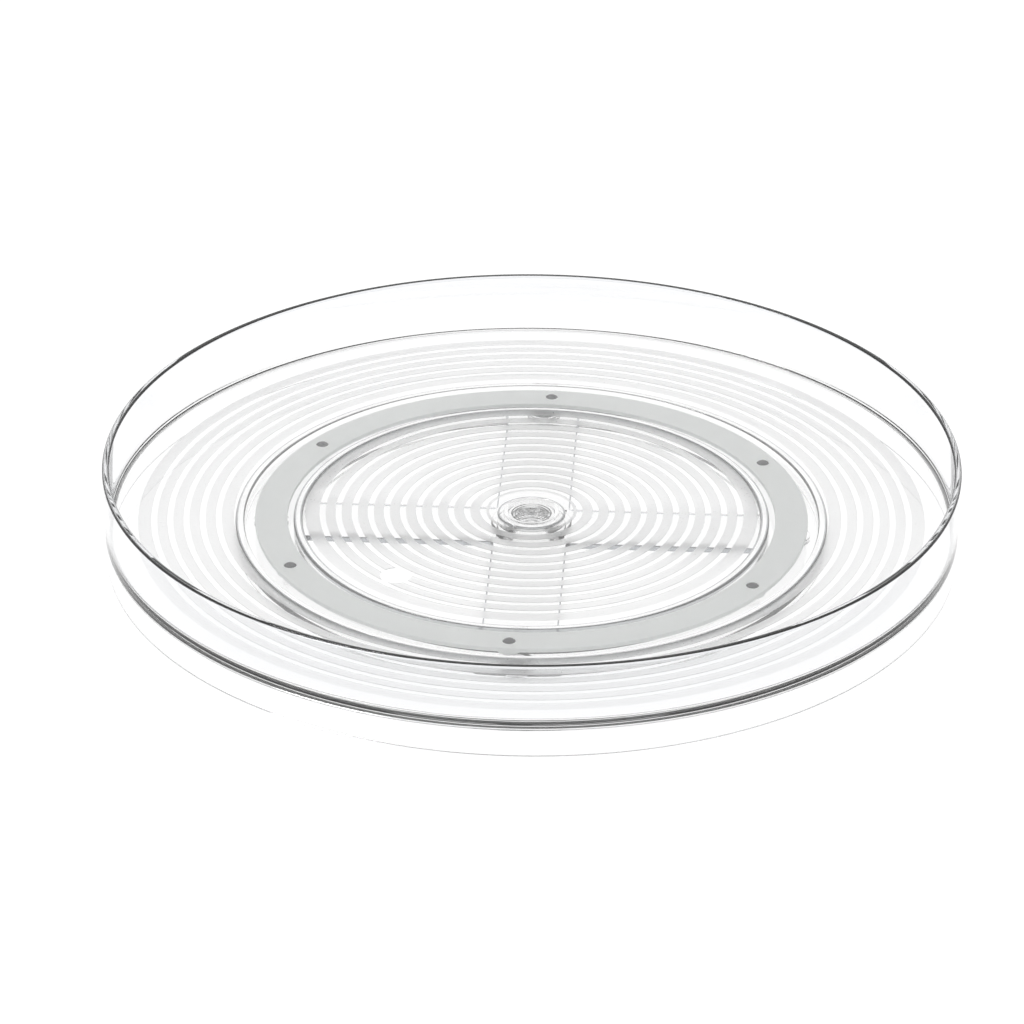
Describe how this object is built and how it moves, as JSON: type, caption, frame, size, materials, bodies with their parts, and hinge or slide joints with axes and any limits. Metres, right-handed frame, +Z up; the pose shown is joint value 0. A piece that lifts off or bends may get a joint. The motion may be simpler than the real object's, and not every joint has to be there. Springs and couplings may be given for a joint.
{
  "type": "lazy susan turntable",
  "caption": "Shallow round clear tray that turns on a caged ball bearing in a low spoked base wheel with soft feet.",
  "frame": {"origin": "on the turning axis at the surface that the feet stand on", "axes": "+Z up along the turning axis; +X right and -Y towards the front as the object is viewed"},
  "size_m": [0.3, 0.3, 0.036],
  "materials": {
    "clear_tray": "clear polished moulded styrene, with frosted bands under the floor",
    "clear_base": "clear polished moulded styrene",
    "grey_cage": "translucent pale grey, satin",
    "ball_steel": "polished bearing steel",
    "foot_silicone": "translucent soft silicone, satin"
  },
  "bodies": {
    "base": {"base_wheel": "clear_base", "foot_1": "foot_silicone", "foot_2": "foot_silicone", "foot_3": "foot_silicone", "foot_4": "foot_silicone"},
    "tray": {"tray": "clear_tray", "retaining_plug": "clear_tray"},
    "cage": {"ball_cage": "grey_cage"},
    "ball_1": {"ball_1": "ball_steel"},
    "ball_2": {"ball_2": "ball_steel"},
    "ball_3": {"ball_3": "ball_steel"},
    "ball_4": {"ball_4": "ball_steel"},
    "ball_5": {"ball_5": "ball_steel"},
    "ball_6": {"ball_6": "ball_steel"}
  },
  "joints": [
    {"name": "tray_spin", "type": "hinge", "parent": "base", "child": "tray", "pos_m": [0, 0, 0.01196], "axis": [0, 0, 1], "continuous": true},
    {"name": "cage_spin", "type": "hinge", "parent": "base", "child": "cage", "pos_m": [0, 0, 0.00893], "axis": [0, 0, 1], "continuous": true},
    {"name": "ball_1_roll", "type": "hinge", "parent": "cage", "child": "ball_1", "pos_m": [0.00722, 0.09172, 0.00893], "axis": [0.0785, 0.9969, 0], "continuous": true},
    {"name": "ball_2_roll", "type": "hinge", "parent": "cage", "child": "ball_2", "pos_m": [-0.07582, 0.05211, 0.00893], "axis": [-0.8241, 0.5664, 0], "continuous": true},
    {"name": "ball_3_roll", "type": "hinge", "parent": "cage", "child": "ball_3", "pos_m": [-0.08304, -0.03961, 0.00893], "axis": [-0.9026, -0.4305, 0], "continuous": true},
    {"name": "ball_4_roll", "type": "hinge", "parent": "cage", "child": "ball_4", "pos_m": [-0.00722, -0.09172, 0.00893], "axis": [-0.0785, -0.9969, 0], "continuous": true},
    {"name": "ball_5_roll", "type": "hinge", "parent": "cage", "child": "ball_5", "pos_m": [0.07582, -0.05211, 0.00893], "axis": [0.8241, -0.5664, 0], "continuous": true},
    {"name": "ball_6_roll", "type": "hinge", "parent": "cage", "child": "ball_6", "pos_m": [0.08304, 0.03961, 0.00893], "axis": [0.9026, 0.4305, 0], "continuous": true}
  ],
  "couplings": [
    {"joint": "cage_spin", "follows": "tray_spin", "ratio": 0.5},
    {"joint": "ball_1_roll", "follows": "tray_spin", "ratio": -15.333},
    {"joint": "ball_2_roll", "follows": "tray_spin", "ratio": -15.333},
    {"joint": "ball_3_roll", "follows": "tray_spin", "ratio": -15.333},
    {"joint": "ball_4_roll", "follows": "tray_spin", "ratio": -15.333},
    {"joint": "ball_5_roll", "follows": "tray_spin", "ratio": -15.333},
    {"joint": "ball_6_roll", "follows": "tray_spin", "ratio": -15.333}
  ]
}
